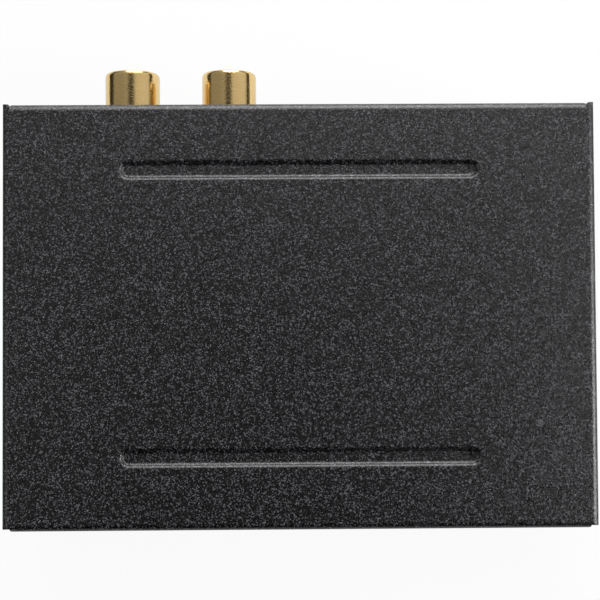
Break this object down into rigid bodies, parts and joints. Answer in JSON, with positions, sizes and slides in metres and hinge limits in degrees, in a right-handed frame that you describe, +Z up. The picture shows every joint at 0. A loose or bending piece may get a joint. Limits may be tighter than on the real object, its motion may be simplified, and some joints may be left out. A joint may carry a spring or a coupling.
{
  "type": "hdmi audio extractor",
  "caption": "Flat black sheet steel signal box with pressed grooves, gold phono jacks, shuttered optical socket, video sockets, power jack and slide switch.",
  "frame": {"origin": "on the supporting surface, under the middle of the box's overall width and depth, jacks and switch lever included", "axes": "+X to the right with the jacks at the back, +Y towards the rear panel with the jacks, +Z up"},
  "size_m": [0.088, 0.0702, 0.022],
  "materials": {
    "powder_coat": "black fine-texture powder coat",
    "tray_coat": "black fine-texture powder coat",
    "black_screw": "black oxide",
    "rubber_foot": "matt moulded",
    "yellow_brass": "bright turned",
    "zinc_screw": "zinc plated",
    "board_laminate": "green solder mask",
    "black_moulding": "fine moulded",
    "gold_plating": "polished gold plating",
    "white_moulding": "moulded",
    "red_moulding": "moulded",
    "nickel_shell": "satin nickel plating",
    "shutter_moulding": "fine moulded",
    "spring_metal": "bright strip",
    "emitter_moulding": "moulded",
    "brown_moulding": "moulded",
    "lamp_lens": "clear tinted",
    "tinned_lead": "tinned",
    "chip_moulding": "moulded",
    "bare_can": "drawn",
    "ferrite": "pressed ferrite"
  },
  "bodies": {
    "box": {"top_cover": "powder_coat", "base_tray": "tray_coat", "cover_screws": "black_screw", "front_left_foot": "rubber_foot", "front_right_foot": "rubber_foot", "rear_left_foot": "rubber_foot", "rear_right_foot": "rubber_foot", "board_standoffs": "yellow_brass", "board_screws": "zinc_screw", "circuit_board": "board_laminate", "audio_jack_housing": "black_moulding", "left_audio_barrel": "gold_plating", "right_audio_barrel": "gold_plating", "left_audio_insulator": "white_moulding", "right_audio_insulator": "red_moulding", "left_audio_contact": "gold_plating", "right_audio_contact": "gold_plating", "video_out_shell": "nickel_shell", "video_out_insert": "black_moulding", "video_out_contacts": "gold_plating", "video_in_shell": "nickel_shell", "video_in_insert": "black_moulding", "video_in_contacts": "gold_plating", "optical_housing": "black_moulding", "shutter_spring": "spring_metal", "optical_emitter": "emitter_moulding", "power_jack_housing": "black_moulding", "power_jack_pin": "nickel_shell", "power_jack_leaf": "spring_metal", "switch_frame": "nickel_shell", "switch_base": "brown_moulding", "power_lamp": "lamp_lens", "lamp_leads": "tinned_lead", "processor_chip": "chip_moulding", "audio_chip": "chip_moulding", "memory_chip": "chip_moulding", "voltage_regulator": "chip_moulding", "clock_crystal": "bare_can", "power_inductor": "ferrite", "filter_capacitors": "bare_can", "chip_resistors": "chip_moulding"},
    "shutter": {"optical_shutter": "shutter_moulding"},
    "mode_slider": {"switch_slider": "black_moulding"}
  },
  "joints": [
    {"name": "shutter_swing", "type": "hinge", "parent": "box", "child": "shutter", "pos_m": [0.00783, 0.0272, 0.0159], "axis": [-1, 0, 0], "range_deg": [0, 85], "stiffness_Nm_per_rad": 0.0004, "springref_deg": -17.19, "deforming": ["shutter_spring"]},
    {"name": "mode_slide", "type": "slide", "parent": "box", "child": "mode_slider", "axis": [1, 0, 0], "range_m": [-0.002, 0.002]}
  ]
}
